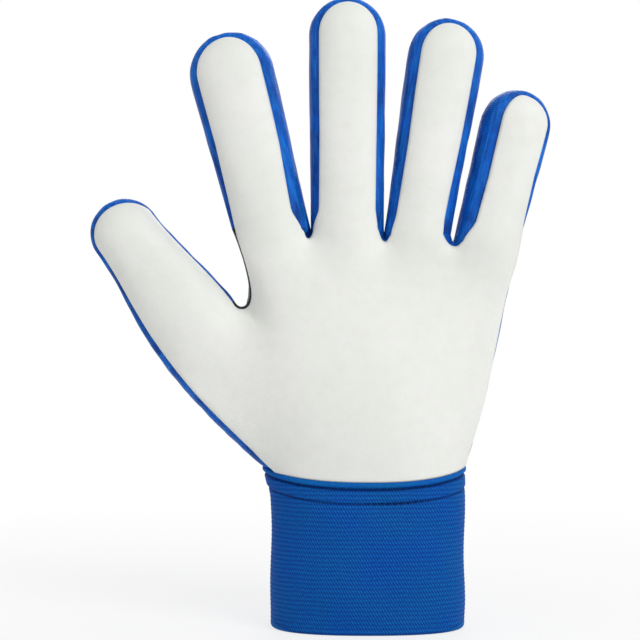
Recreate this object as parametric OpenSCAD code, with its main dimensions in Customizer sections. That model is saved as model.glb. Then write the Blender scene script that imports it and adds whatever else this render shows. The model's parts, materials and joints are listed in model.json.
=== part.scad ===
// Goalkeeper glove for the left hand, with a flat-cut foam palm, a foam backhand, fabric
// gussets sewn between the two, a lining and a knitted slip-on cuff.
// It stands on its cuff: Z runs up the fingers, the palm faces -Y and the thumb points to -X.
// The origin is the centre of the cuff's mouth, and every length is in millimetres.

/* [Cuff] */
// Width of the cuff across the wrist
cuff_width = 78.5; // [66:0.5:94]
// Depth of the cuff from its palm side to its back
cuff_depth = 47; // [39:0.5:56]
// Height of the cuff at its two sides
cuff_height = 65; // [50:0.5:80]
// How far the palm's seam dips below that height at the middle
seam_dip = 5; // [2:0.5:8]
// Height of the fold at the mouth, where the outer layer turns in
fold_height = 3; // [2:0.5:5]
// Height of the twin-stitched band where the cuff joins the hand
band_height = 8; // [5:0.5:11]
// Thickness of one layer of the knitted elastic
knit = 1.5; // [1:0.1:2.2]
// How far the cuff opens out towards the thumb at its top
thumb_flare = 4.3; // [2:0.1:6]

/* [Panels] */
// Thickness of the latex foam on the palm side
latex = 4; // [2.5:0.1:5]
// Thickness of the backhand foam
back_foam = 3.5; // [2.5:0.1:4.5]
// Thickness of the gusset fabric
gusset = 1.5; // [1:0.1:2]
// Thickness of the lining
lining = 0.9; // [0.6:0.1:1.4]
// Thickness of the raised knuckle panel
knuckle_foam = 1.2; // [0.8:0.1:2]

/* [Palm] */
// Height from the cuff's sides to the crotches beside the middle finger
palm_length = 96; // [80:1:115]
// How much lower the ring finger starts
ring_drop = 2.5; // [0:0.5:4]
// How much lower the little finger starts
little_drop = 5; // [3:0.5:8]
// Offset of the middle finger from the cuff's centre
middle_offset = -8.1; // [-12:0.1:-4]
// Space between index and middle finger at the crotch
crotch_index_middle = 1.2; // [0.9:0.1:2.5]
// Space between middle and ring finger at the crotch
crotch_middle_ring = 1.2; // [0.9:0.1:2.5]
// Space between ring and little finger at the crotch
crotch_ring_little = 2.4; // [2.2:0.1:4]
// How much higher a crotch is at the back than at the palm
crotch_rise = 6.5; // [5:0.5:10]

/* [Fingers] */
// Length of the index finger above its crotch
index_length = 79; // [66:0.5:94]
// Length of the middle finger above its crotch
middle_length = 93; // [78:0.5:110]
// Length of the ring finger above its root
ring_length = 87; // [73:0.5:104]
// Length of the little finger above its root
little_length = 60.5; // [51:0.5:72]
// Width of the index finger near its tip
index_width = 33; // [28:0.5:38]
// Width of the middle finger near its tip
middle_width = 30; // [25:0.5:34]
// Width of the ring finger near its tip
ring_width = 29.5; // [25:0.5:34]
// Width of the little finger near its tip
little_width = 27; // [23:0.5:31]
// Depth of the fingers at their root
root_depth = 27; // [24:0.5:32]
// Depth of the fingers near their tips
tip_depth = 25; // [22:0.5:30]
// Width of the index finger at its root
index_root = 30; // [25:0.5:35]
// Width of the middle finger at its root
middle_root = 28.5; // [24:0.5:33]
// Width of the ring finger at its root
ring_root = 25.5; // [22:0.5:30]
// Width of the little finger at its root
little_root = 25; // [21:0.5:29]
// Share of a finger's length at which its middle joint bends
bend_share = 0.42; // [0.36:0.01:0.5]

/* [Thumb] */
// Length of the thumb above its root line
thumb_length = 61.5; // [52:0.5:73]
// Width of the thumb near its tip
thumb_tip_width = 27; // [24:0.5:31]
// Width of the thumb across its root line
thumb_root_width = 37; // [33:0.5:41]
// Lean of the thumb away from the middle finger, in degrees
thumb_lean = 36.5; // [32:0.5:41]
// Distance of the thumb's root from the cuff's centre
thumb_offset = 69.5; // [63:0.5:76]
// Height of the thumb's root above the cuff's sides
thumb_rise = 55.5; // [48:0.5:62]

/* [Hidden] */
FINGER_NODES = ["base_latex", "base_back", "base_gussets", "base_lining",
                "tip_latex", "tip_back", "tip_gusset", "tip_lining"];

WHITE = "#E8E9E4";
BLUE = "#0B57B0";
BLACK = "#1B1C20";
KNIT_BLUE = "#0A4C9E";
LINING_GREY = "#D8DCE2";

roundness = 2.4;        // exponent of the superellipse that every section follows
joint_gap = 0.3;        // clearance between two bodies that bend against each other
layer_gap = 0.2;        // clearance between two layers of one body
seam_gap = 1;           // degrees of section left free between two panels along a seam
back_seam = 36;         // section angle of the seams along the backhand
cuff_seam_thumb = 30;   // section angle at which the latex ends on the cuff's thumb side
cuff_seam_little = 8;   // and on its other side
tip_edge = 1.8;         // how far the latex ends short of a fingertip
back_tip_edge = 1;      // how far the backhand foam ends short of a fingertip
crotch_half_depth = 7.5; // of the hand between two fingers
web_lift = 1;           // clearance between the panels' edges and the gusset over the thumb's crotch
saddle_lift = 0.6;      // clearance between the palm's edge and the gusset between two fingers
web_turn_low = [3.5, 0, -5.5];   // where the web's curve heads as it leaves the thumb
web_turn_high = [14.5, 0, -4.5]; // and where it comes from as it rises to the index finger
web_end = 0.97;         // share of the web at which its gusset stops, short of the index finger
web_front = -0.8;       // share of the web's half depth at which its gusset starts, behind the latex
flare_height = 13;      // height below the seam over which the cuff opens out
flare_margin = 3;       // how far below that the cuff's straight rows end
dip_power = 1.5;        // how sharply the seam dips towards the middle of the palm
column_spread = 1.25;   // how soon the palm's columns turn sideways above the seam
spread_skew = 0.1;      // and how much sooner they do on the little finger's side
section_turn = 0.55;    // share of the palm's height above which sections turn into the fingers' own
palm_swell = 2.5;       // how far the hand bulges beyond the cuff on each face
hand_bands = 7;         // rows of facets between the seam and the roots of the fingers
knuckle_bands = 3;      // of these, the ones that the knuckle panel covers
band_proud = 0.4;       // how far the seam band stands out from the knit

// A finger is a list: its name, the x and z of its root, its lean in degrees, the length of its
// straight part, its half widths at the root and near the tip, the slope of its cuts, its seam
// angles and the length of its base section.
// The seam angles are [left at the root, left at the tip, right at the root, right at the tip].
NAME = 0;
ROOT_X = 1;
ROOT_Z = 2;
LEAN = 3;
STRAIGHT = 4;
HALF_ROOT = 5;
HALF_TIP = 6;
SLOPE = 7;
SEAMS = 8;
BEND = 9;

index_lean = -14.2;
ring_lean = 9.1;
little_lean = 14;

crotch_z = cuff_height + palm_length;
index_half = index_root / cos(index_lean) / 2;
ring_half = ring_root / cos(ring_lean) / 2;
little_half = little_root / cos(little_lean) / 2;
index_x = middle_offset - middle_root / 2 - crotch_index_middle - index_half;
ring_x = middle_offset + middle_root / 2 + crotch_middle_ring + ring_half;
little_x = ring_x + ring_half + crotch_ring_little + little_half;

function leaning(name, x, drop, lean, length, root, width, seams) =
    [name, x, crotch_z - drop, lean, (length - width / 2) / cos(lean), root / 2, width / 2, tan(lean), seams,
     bend_share * length / cos(lean)];

INDEX = leaning("index", index_x, 0, index_lean, index_length, index_root, index_width, [20, 32, 52, 43]);
MIDDLE = leaning("middle", middle_offset, 0, 0, middle_length, middle_root, middle_width, [34, 39, 39, 37]);
RING = leaning("ring", ring_x, ring_drop, ring_lean, ring_length, ring_root, ring_width, [36, 45, 44, 38]);
LITTLE = leaning("little", little_x, little_drop, little_lean, little_length, little_root, little_width,
                 [55, 62, 10, 27]);
THUMB = ["thumb", -thumb_offset, cuff_height + thumb_rise, -thumb_lean, thumb_length - thumb_tip_width / 2,
         thumb_root_width / 2, thumb_tip_width / 2, 0, [30, 24, 5, 5], bend_share * thumb_length];
FINGERS = [INDEX, MIDDLE, RING, LITTLE, THUMB];

// ---- numbers and sections ----

function mix(a, b, t) = a + (b - a) * t;
function clamp01(t) = max(0, min(1, t));
// Peaks at 1, a third of the way up
function bulge(t) = 27 / 4 * t * (1 - t) * (1 - t);
function ease(t) = let (c = clamp01(t)) c * c * (3 - 2 * c);
function steps(from, to, count) = [for (i = [0 : count]) mix(from, to, i / count)];
function reversed(list) = [for (i = [len(list) - 1 : -1 : 0]) list[i]];
function across(angle) = sign(cos(angle)) * pow(abs(cos(angle)), 2 / roundness);
function outward(angle) = sign(sin(angle)) * pow(abs(sin(angle)), 2 / roundness);
function angle_at(share) = acos(pow(clamp01(share), roundness / 2));
function dome(share) = pow(max(0, 1 - pow(clamp01(share), roundness)), 1 / roundness);

// ---- solids from sheets and rings of points ----

function quad(a, b, c, d) = [[a, b, c], [a, c, d]];

// Closed solid between an outer and an inner sheet of points, given in rows
module slab(outer, inner) {
    rows = len(outer);
    columns = len(outer[0]);
    function at(side, r, c) = (side * rows + r) * columns + c;
    top = rows - 1;
    end = columns - 1;
    polyhedron(
        points = concat([for (row = outer) each row], [for (row = inner) each row]),
        faces = concat(
            [for (r = [0 : rows - 2], c = [0 : columns - 2]) each concat(
                quad(at(0, r, c), at(0, r + 1, c), at(0, r + 1, c + 1), at(0, r, c + 1)),
                quad(at(1, r, c), at(1, r, c + 1), at(1, r + 1, c + 1), at(1, r + 1, c)))],
            [for (c = [0 : columns - 2]) each concat(
                quad(at(0, 0, c), at(0, 0, c + 1), at(1, 0, c + 1), at(1, 0, c)),
                quad(at(0, top, c), at(1, top, c), at(1, top, c + 1), at(0, top, c + 1)))],
            [for (r = [0 : rows - 2]) each concat(
                quad(at(0, r, 0), at(1, r, 0), at(1, r + 1, 0), at(0, r + 1, 0)),
                quad(at(0, r, end), at(0, r + 1, end), at(1, r + 1, end), at(1, r, end)))]));
}

// Closed solid whose skin runs over a list of rings, from the last one back to the first
module tube(rings) {
    rows = len(rings);
    columns = len(rings[0]);
    function at(r, c) = (r % rows) * columns + c % columns;
    polyhedron(
        points = [for (ring = rings) each ring],
        faces = [for (r = [0 : rows - 1], c = [0 : columns - 1]) each
            quad(at(r, c), at(r + 1, c), at(r + 1, c + 1), at(r, c + 1))]);
}

// Closed shell of a fingerstall, open at its first ring and closed over its poles
module stall(outer, inner, outer_pole, inner_pole) {
    rows = len(outer);
    columns = len(outer[0]);
    sheet = rows * columns;
    function at(side, r, c) = side * sheet + r * columns + c % columns;
    top = rows - 1;
    polyhedron(
        points = concat([for (row = outer) each row], [for (row = inner) each row], [outer_pole, inner_pole]),
        faces = concat(
            [for (r = [0 : rows - 2], c = [0 : columns - 1]) each concat(
                quad(at(0, r, c), at(0, r + 1, c), at(0, r + 1, c + 1), at(0, r, c + 1)),
                quad(at(1, r, c), at(1, r, c + 1), at(1, r + 1, c + 1), at(1, r + 1, c)))],
            [for (c = [0 : columns - 1]) each concat(
                quad(at(0, 0, c), at(0, 0, c + 1), at(1, 0, c + 1), at(1, 0, c)),
                [[at(0, top, c), 2 * sheet, at(0, top, c + 1)],
                 [at(1, top, c), at(1, top, c + 1), 2 * sheet + 1]])]));
}

// ---- fingers, each in its own frame with Z along the finger ----

function half_width(f, s) = mix(f[HALF_ROOT], f[HALF_TIP], ease(s / f[STRAIGHT]));
function half_depth(f, s) = mix(root_depth, tip_depth, clamp01(s / f[STRAIGHT])) / 2;
function seam(f, side, s) =
    let (first = side < 0 ? 0 : 2) mix(f[SEAMS][first], f[SEAMS][first + 1], clamp01(s / f[BEND]));
// The cuts at both bends are level on the glove, so the rows slope along a leaning finger
function slope_at(f, s) = f[SLOPE] * (1 - ease((s - f[BEND]) / (f[STRAIGHT] - f[BEND])));

function wall_point(f, s, angle, inset) =
    let (x = (half_width(f, s) - inset) * across(angle))
    [x, (half_depth(f, s) - inset) * outward(angle), s + slope_at(f, s) * x];

// A point on the rounded tip: direction 0 is the right side, 90 the very tip, 180 the left side,
// and side is -1 on the palm's half and 1 on the back's
function tip_point(f, direction, share, side, inset) =
    let (radius = (f[HALF_TIP] - inset) * share)
    [radius * cos(direction), side * (tip_depth / 2 - inset) * dome(share), f[STRAIGHT] + radius * sin(direction)];

// Share of the tip's radius at which the foam of one side ends, in a direction
function edge_share(f, direction, side) =
    let (beside = side > 0 ? across(back_seam) : across(seam(f, cos(direction), f[STRAIGHT])),
         end = 1 - (side > 0 ? back_tip_edge : tip_edge) / f[HALF_TIP])
    1 / sqrt(pow(cos(direction) / beside, 2) + pow(sin(direction) / end, 2));

function front_angles(f, s, count) = steps(seam(f, -1, s) - 180, -seam(f, 1, s), count);
function back_angles(count) = steps(back_seam, 180 - back_seam, count);

function wall_rows(f, stations, side, inset, count) =
    [for (s = stations)
        [for (angle = side < 0 ? front_angles(f, s, count) : back_angles(count)) wall_point(f, s, angle, inset)]];

// Rows of the tip, as chords of its rounded outline
function cap_rows(f, side, inset, count) =
    [for (climb = [22, 44, 64, 80])
        let (end = edge_share(f, 90, side) * sin(climb),
             left = edge_share(f, 180, side) * cos(climb),
             right = edge_share(f, 0, side) * cos(climb))
        [for (u = steps(side, -side, count))
            let (x = u * (u < 0 ? left : right))
            tip_point(f, atan2(end, x), norm([x, end]), side, inset)]];

foam_columns = 8;

// The foam on one side of a finger, from one height to another
module finger_foam(f, from, to, side, thickness, with_tip) {
    function rows(inset) =
        concat(wall_rows(f, steps(from, to, 2), side, inset, foam_columns),
               with_tip ? cap_rows(f, side, inset, foam_columns) : []);
    slab(rows(0), rows(thickness));
}

function strip_angles(f, s, side) = steps(-seam(f, side, s) + seam_gap, back_seam - seam_gap, 3);

// One side of a finger between its latex and its backhand foam; side is 1 on the right
function strip_rows(f, stations, side, inset) =
    [for (s = stations)
        [for (angle = strip_angles(f, s, side)) wall_point(f, s, side > 0 ? angle : 180 - angle, inset)]];

module straight_gusset(f, side) {
    rising = steps(base_start(f), base_end(f), 2);
    stations = side > 0 ? rising : reversed(rising);
    slab(strip_rows(f, stations, side, 0), strip_rows(f, stations, side, gusset));
}

// The gusset runs up the right side of the finger, over its tip and down the left side
function tip_strip_rows(f, inset) =
    let (stations = steps(tip_start(f), f[STRAIGHT], 2))
    concat(
        strip_rows(f, stations, 1, inset),
        [for (direction = [20 : 20 : 160])
            let (front = angle_at(edge_share(f, direction, -1)),
                 back = angle_at(edge_share(f, direction, 1)))
            [for (angle = steps(-front + seam_gap, back - seam_gap, 3))
                tip_point(f, direction, across(angle), sign(angle), inset)]],
        strip_rows(f, reversed(stations), -1, inset));

function base_start(f) = joint_gap;
function base_end(f) = f[BEND] - joint_gap / 2;
function tip_start(f) = f[BEND] + joint_gap / 2;

lining_sides = 14;

// The lining lies under the latex on the palm side and under the thinner foam on the back
function lining_cover(angle) =
    layer_gap + mix(latex, back_foam, clamp01(sin(angle) / sin(back_seam)));

// An outer lining ring has depth 0, and an inner one the lining's thickness
function lining_ring(f, s, depth) =
    [for (i = [0 : lining_sides - 1])
        let (angle = 360 * i / lining_sides)
        wall_point(f, s, angle, lining_cover(angle) + depth)];
function lining_cap(f, climb, depth) =
    [for (i = [0 : lining_sides - 1])
        let (angle = 360 * i / lining_sides, inset = lining_cover(angle) + depth)
        [(f[HALF_TIP] - inset) * cos(climb) * across(angle),
         (tip_depth / 2 - inset) * cos(climb) * outward(angle),
         f[STRAIGHT] + (f[HALF_TIP] - inset) * sin(climb)]];
function lining_pole(f, depth) = [0, 0, f[STRAIGHT] + f[HALF_TIP] - lining_cover(0) - depth];

// A finger's frame on the glove
module place(f) {
    translate([f[ROOT_X], 0, f[ROOT_Z]]) rotate([0, f[LEAN], 0]) children();
}
function placed(f, p) =
    [f[ROOT_X] + p[0] * cos(f[LEAN]) + p[2] * sin(f[LEAN]), p[1],
     f[ROOT_Z] - p[0] * sin(f[LEAN]) + p[2] * cos(f[LEAN])];
function along(f) = [sin(f[LEAN]), 0, cos(f[LEAN])];

module base_latex(f) color(WHITE) place(f) finger_foam(f, base_start(f), base_end(f), -1, latex, false);
module tip_latex(f) color(WHITE) place(f) finger_foam(f, tip_start(f), f[STRAIGHT], -1, latex, true);
module base_back(f) color(BLACK) place(f) finger_foam(f, base_start(f), base_end(f), 1, back_foam, false);
module tip_back(f) color(BLUE) place(f) finger_foam(f, tip_start(f), f[STRAIGHT], 1, back_foam, true);
module base_gussets(f) color(BLUE) place(f) for (side = [-1, 1]) straight_gusset(f, side);
module tip_gusset(f) color(BLUE) place(f) slab(tip_strip_rows(f, 0), tip_strip_rows(f, gusset));

module base_lining(f) {
    stations = steps(base_start(f), base_end(f), 2);
    color(LINING_GREY) place(f) tube(concat(
        [for (s = stations) lining_ring(f, s, 0)],
        [for (s = reversed(stations)) lining_ring(f, s, lining)]));
}

module tip_lining(f) {
    function rings(depth) =
        concat([for (s = steps(tip_start(f), f[STRAIGHT], 2)) lining_ring(f, s, depth)],
               [for (climb = [30, 60]) lining_cap(f, climb, depth)]);
    color(LINING_GREY) place(f)
        stall(rings(0), rings(lining), lining_pole(f, 0), lining_pole(f, lining));
}

// ---- cuff ----

cuff_angles = [for (i = [0 : 35]) 10 * i];
cuff_layers = 2 * knit + layer_gap;

function cuff_flare(angle, z) = thumb_flare * max(0, -cos(angle)) * ease((z - cuff_height + flare_height) / flare_height);
function seam_height(angle) = cuff_height - seam_dip * pow(abs(sin(angle)), dip_power);
function cuff_point(angle, z, inset) =
    [(cuff_width / 2 - inset) * across(angle) - cuff_flare(angle, z), (cuff_depth / 2 - inset) * outward(angle), z];
function cuff_ring(z, inset) = [for (angle = cuff_angles) cuff_point(angle, z, inset)];
function cuff_top_ring(drop, inset) =
    [for (angle = cuff_angles) cuff_point(angle, seam_height(angle) - drop, inset)];

// One tube of elastic, doubled: the outer layer ends under the seam band, turns in at the mouth
// and comes back up inside to the seam
module cuff_knit() {
    edge = knit / 2;
    above_fold = fold_height + layer_gap;
    flare_start = cuff_height - flare_height - flare_margin;
    color(KNIT_BLUE) tube([
        cuff_ring(0, edge), cuff_ring(edge, 0),
        cuff_ring(flare_start, 0), cuff_top_ring(band_height, 0),
        cuff_top_ring(band_height, knit), cuff_ring(flare_start, knit), cuff_ring(above_fold, knit),
        cuff_ring(above_fold, knit + layer_gap), cuff_ring(flare_start, knit + layer_gap),
        cuff_top_ring(band_height, knit + layer_gap), cuff_top_ring(layer_gap * 2, knit + layer_gap),
        cuff_top_ring(layer_gap * 2, cuff_layers), cuff_top_ring(band_height, cuff_layers),
        cuff_ring(flare_start, cuff_layers),
        cuff_ring(edge, cuff_layers), cuff_ring(0, cuff_layers - edge)]);
}

module cuff_seam_band() {
    low = band_height - layer_gap;
    high = 2 * layer_gap;
    color(KNIT_BLUE) tube([
        cuff_top_ring(low, -band_proud), cuff_top_ring(high, -band_proud),
        cuff_top_ring(high, knit), cuff_top_ring(low, knit)]);
}

// ---- hand: columns that run from the cuff's seam to the roots of the fingers ----

// A column is [angle on the cuff, finger, section angle on the finger],
// or [angle on the cuff, point] where it ends between two fingers.
function crotch_point(left, right, side) =
    let (a = placed(left, wall_point(left, 0, 0, 0)), b = placed(right, wall_point(right, 0, 180, 0)))
    [(a[0] + b[0]) / 2, side * crotch_half_depth, min(a[2], b[2])];

web_low = placed(THUMB, wall_point(THUMB, 0, 0, 0));
web_high = placed(INDEX, wall_point(INDEX, 0, 180, 0));

// The web runs from the thumb's root down through the crotch and up to the index finger's root
function web_point(t, side) =
    let (u = 1 - t,
         turn_low = web_low + web_turn_low,
         turn_high = web_low + web_turn_high,
         p = u * u * u * web_low + 3 * u * u * t * turn_low + 3 * u * t * t * turn_high + t * t * t * web_high)
    [p[0], side * crotch_half_depth, p[2]];

function finger_columns(f, side, count) =
    [for (angle = side < 0 ? front_angles(f, 0, count) : back_angles(count)) [f, angle]];
function web_columns(shares, side) = [for (t = shares) [web_point(t, side)]];
web_shares = [0.15, 0.35, 0.6, 0.8];

front_ends = concat(
    finger_columns(THUMB, -1, 5), web_columns(web_shares, -1),
    finger_columns(INDEX, -1, 4), [[crotch_point(INDEX, MIDDLE, -1)]],
    finger_columns(MIDDLE, -1, 4), [[crotch_point(MIDDLE, RING, -1)]],
    finger_columns(RING, -1, 4), [[crotch_point(RING, LITTLE, -1)]],
    finger_columns(LITTLE, -1, 4));
back_ends = concat(
    finger_columns(LITTLE, 1, 4), [[crotch_point(RING, LITTLE, 1)]],
    finger_columns(RING, 1, 4), [[crotch_point(MIDDLE, RING, 1)]],
    finger_columns(MIDDLE, 1, 4), [[crotch_point(INDEX, MIDDLE, 1)]],
    finger_columns(INDEX, 1, 4), web_columns(reversed(web_shares), 1),
    finger_columns(THUMB, 1, 5));

function with_cuff_angles(ends, from, to) =
    [for (i = [0 : len(ends) - 1]) concat([mix(from, to, i / (len(ends) - 1))], ends[i])];
front_columns = with_cuff_angles(front_ends, cuff_seam_thumb - 180, -cuff_seam_little);
back_columns = with_cuff_angles(back_ends, back_seam, 180 - back_seam);
thumb_side_columns = 6 + len(web_shares);

// Where a column ends: an inset moves it inwards from the hand's outline, and on the thumb from
// the thumb's own outline
function column_top(c, inset) =
    len(c) == 2 ? c[1] - inset * [0, sign(c[1][1]), 0]
    : c[1][NAME] == "thumb" ? placed(c[1], wall_point(c[1], 0, c[2], inset))
    : placed(c[1], wall_point(c[1], 0, c[2], 0)) - inset * [across(c[0]), outward(c[2]), 0];
function column_lean(c) = len(c) == 3 ? along(c[1]) : [0, 0, 1];

// Half of the hand's thickness at a share of the height from seam to finger roots
function hand_half(t) =
    mix(cuff_depth, root_depth, ease(t)) / 2 + palm_swell * bulge(t);

// A column leaves the seam towards its end and arrives along its finger. Its depth follows one
// smooth section over the hand, and turns into the finger's own section at the top.
function column_point(c, t, inset) =
    let (foot = cuff_point(c[0], seam_height(c[0]) + layer_gap / 2, inset),
         head = column_top(c, inset),
         chord = head - foot,
         leave = [(column_spread + spread_skew * cos(c[0])) * chord[0], 0, chord[2]],
         arrive = norm(chord) * column_lean(c),
         tt = t * t,
         ttt = tt * t,
         p = foot * (2 * ttt - 3 * tt + 1) + leave * (ttt - 2 * tt + t)
             + head * (3 * tt - 2 * ttt) + arrive * (ttt - tt),
         depth = (hand_half(t) - inset) * outward(c[0]))
    [p[0], mix(depth, head[1], ease((t - section_turn) / (1 - section_turn))), p[2]];

module hand_panel(columns, outer, inner, bands = hand_bands) {
    function rows(inset) =
        [for (t = steps(1 - bands / hand_bands, 1, bands)) [for (c = columns) column_point(c, t, inset)]];
    slab(rows(outer), rows(inner));
}

module palm_latex() color(WHITE) hand_panel(front_columns, 0, latex);
module palm_lining() color(LINING_GREY)
    hand_panel(front_columns, latex + layer_gap, latex + layer_gap + lining);
module backhand_foam() color(BLUE) hand_panel(back_columns, 0, back_foam);
module backhand_lining() color(LINING_GREY)
    hand_panel(back_columns, back_foam + layer_gap, back_foam + layer_gap + lining);

// The raised panel over the knuckles leaves the thumb's part of the back free
module knuckle_panel() {
    covered = [for (i = [0 : len(back_columns) - thumb_side_columns - 1]) back_columns[i]];
    color(BLACK) hand_panel(covered, -layer_gap - knuckle_foam, -layer_gap, knuckle_bands);
}

function side_columns(f, side, cuff_seam) =
    let (top = strip_angles(f, 0, side), low = steps(seam_gap - cuff_seam, back_seam - seam_gap, 3))
    [for (i = [0 : 3]) side > 0 ? [low[i], f, top[i]] : [180 - low[i], f, 180 - top[i]]];

module little_side_gusset() color(BLUE) hand_panel(side_columns(LITTLE, 1, cuff_seam_little), 0, gusset);
module thumb_side_gusset() color(BLUE)
    hand_panel(reversed(side_columns(THUMB, -1, cuff_seam_thumb)), 0, gusset);

// The strip that closes the web between thumb and index finger, over the panels' edges
module thumb_crotch_gusset() {
    function rows(lift) =
        [for (t = concat(web_shares, [web_end]))
            let (ahead = web_point(t + 0.01, 0) - web_point(t - 0.01, 0),
                 up = [-ahead[2], 0, ahead[0]] / norm(ahead))
            [for (side = steps(web_front, 1, 3)) web_point(t, side) + up * lift]];
    color(BLACK) slab(rows(web_lift), rows(web_lift + gusset));
}

// A saddle of fabric between two fingers, higher at the back than at the palm
module crotch_gusset(left, right) {
    a = placed(left, wall_point(left, 0, 0, 0));
    b = placed(right, wall_point(right, 0, 180, 0));
    function row(y, lift) =
        let (climb = crotch_rise * ease((y + crotch_half_depth) / (2 * crotch_half_depth)),
             z = min(a[2], b[2]) + lift + climb)
        [[a[0] + joint_gap + max(0, z - a[2]) * max(0, tan(left[LEAN])), y, z], [b[0] - joint_gap, y, z]];
    depths = steps(crotch_half_depth, -crotch_half_depth, 4);
    color(BLUE) slab([for (y = depths) row(y, saddle_lift + gusset)], [for (y = depths) row(y, saddle_lift)]);
}

palm_latex();
palm_lining();
backhand_foam();
backhand_lining();
knuckle_panel();
thumb_side_gusset();
little_side_gusset();
thumb_crotch_gusset();
crotch_gusset(INDEX, MIDDLE);  // crotch_gusset_index_middle
crotch_gusset(MIDDLE, RING);  // crotch_gusset_middle_ring
crotch_gusset(RING, LITTLE);  // crotch_gusset_ring_little
cuff_knit();
cuff_seam_band();
for (f = FINGERS) {
    base_latex(f);
    base_back(f);
    base_gussets(f);
    base_lining(f);
    tip_latex(f);
    tip_back(f);
    tip_gusset(f);
    tip_lining(f);
}
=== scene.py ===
import json
import math

import bpy
import numpy as np
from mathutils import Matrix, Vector, kdtree


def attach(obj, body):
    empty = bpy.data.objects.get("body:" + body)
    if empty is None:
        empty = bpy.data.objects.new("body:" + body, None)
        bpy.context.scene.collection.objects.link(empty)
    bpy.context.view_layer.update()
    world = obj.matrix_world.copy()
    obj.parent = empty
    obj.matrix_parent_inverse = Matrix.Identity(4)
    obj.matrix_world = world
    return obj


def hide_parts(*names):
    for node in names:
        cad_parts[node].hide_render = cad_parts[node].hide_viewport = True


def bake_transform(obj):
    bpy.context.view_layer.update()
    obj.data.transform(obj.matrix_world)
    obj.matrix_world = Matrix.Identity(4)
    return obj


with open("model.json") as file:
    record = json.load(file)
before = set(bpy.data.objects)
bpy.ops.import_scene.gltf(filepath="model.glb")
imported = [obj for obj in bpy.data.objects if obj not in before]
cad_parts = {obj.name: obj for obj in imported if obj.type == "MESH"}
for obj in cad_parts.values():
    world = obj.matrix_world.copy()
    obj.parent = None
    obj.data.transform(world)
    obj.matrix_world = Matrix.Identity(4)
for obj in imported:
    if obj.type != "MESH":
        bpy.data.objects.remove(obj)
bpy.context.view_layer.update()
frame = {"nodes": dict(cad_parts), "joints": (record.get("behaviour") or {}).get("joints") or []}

# ---- sizes of the glove, in millimetres and degrees ----

MM = 0.001
ROUNDNESS = 2.4  # exponent of the superellipse of every section
HALF_GAP = 0.15  # half the clearance between two bodies
BACK_SEAM = 36.0  # section angle of the seams along the backhand
BACK_TIP_EDGE, LATEX_TIP_EDGE = 1.0, 1.8  # how far backhand and latex end short of a fingertip
PALM_SWELL = 2.5  # how far the hand bulges beyond the cuff on each face
WEB_LOW = (3.5, 0.0, -5.5)  # where the web's curve heads from the thumb
WEB_HIGH = (14.5, 0.0, -4.5)  # and where it comes from at the index finger
COLUMN_SPREAD = 1.25  # how soon the palm's columns turn sideways above the seam
SPREAD_SKEW = 0.1  # and how much sooner they do on the little finger's side
SECTION_TURN = 24.0  # height over which the hand's section turns into the fingers'
# How far the palm's depth is evened out, and how far from its edges it first is in full
CALMING = ((6.5, 13.0), (3.0, 6.0), (1.5, 2.8))
ROOT_CALMING = ((3.5, 6.0), (1.8, 3.0))  # the same where the fingers grow out of it,
ROOT_ZONE = (-30.0, 19.0)  # between these heights about a root,
ROOT_FADES = (10.0, 9.0, 3.0)  # fading over these distances below, above and beside
DIP_POWER = 1.5  # how sharply the cuff's seam dips towards the middle of the palm
FLARE_HEIGHT = 13.0  # over which the cuff opens out to its seam
CROTCH_PULL = 2.8  # how far the edges of a crotch are pulled in
TIP_LEAST = 11.5  # the rounded part of a fingertip is higher than this
STEP = 1.3  # between the rows of a finger's panels
WELD = 0.02  # points nearer to each other than this are one

LATEX_THICK = 3.8  # latex foam
LATEX_ROLL = 2.1  # radius of its rounded edges
LATEX_PLUMP, SIDE_PLUMP = 0.5, 1.0  # how far it stands out, and how much further at the palm's side
SIDE_SPAN = (68.0, 165.0)  # between these heights
BACK_THICK = 3.2  # backhand foam
BACK_ROLL = 1.7
GUSSET_THICK = 0.8
GUSSET_PROUD = 0.6  # how far they stand out between their seams
GUSSET_VALLEY, VALLEY_WIDTH = 1.9, 1.5  # how far they are pulled in along the seams
PUCKER = 0.12  # height of small folds in gussets and latex
LINING_SINK = 4.3  # the lining lies this far inside
LINING_THICK = 0.6
LINING_COVER = 4.2  # the frame's lining lies this far inside a fingertip
KNUCKLE_PROUD, KNUCKLE_ROLL = 1.3, 1.2
KNUCKLE_ROWS = (0.56, 0.955)  # shares of the hand's height that the knuckle panel covers
KNUCKLE_FIRST, KNUCKLE_LAST = 9.6, 31.65  # the hand's columns between which it lies

# Channels pressed into the foam: height in the middle, rise to the sides, width and depth
HAND_CHANNELS = [(78 + 13 * k, 9, 1.6, 1.5) for k in range(3)]
KNUCKLE_CHANNELS = [(127, -7, 1.5, 0.95), (142, -7, 1.5, 0.95)]
FINGER_CHANNEL = (1.4, 1.4)  # width and depth
CHANNELS_END = 118.0  # the hand's own channels end below the knuckle panel

KNIT = 1.5  # one layer of the cuff's elastic
FOLD = KNIT + 0.1  # radius of its fold at the mouth
CUFF_COLUMNS = 240
BINDING = 1.8  # height of the smooth binding along the seam
GROOVE = 2.6  # how far below the seam the first row of stitches pulls the cuff in
SECOND_ROW = 8.2  # and the second
BAND_PROUD = 0.35  # how far the doubled edge stands out above the second row
RIB_PITCH = 1.75  # between the cuff's ribs
LOOP_PITCH = 1.15  # between the loops across a rib; the real ones are finer than shows
LOOP_SLANT = 0.55  # how far a loop leans, as a share of its rise
MESH_PITCH = 1.9  # between the holes of the backhand's mesh
BACK_STITCH_INSIDE = 15.0  # section angle between the backhand's seams and its topstitching

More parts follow.
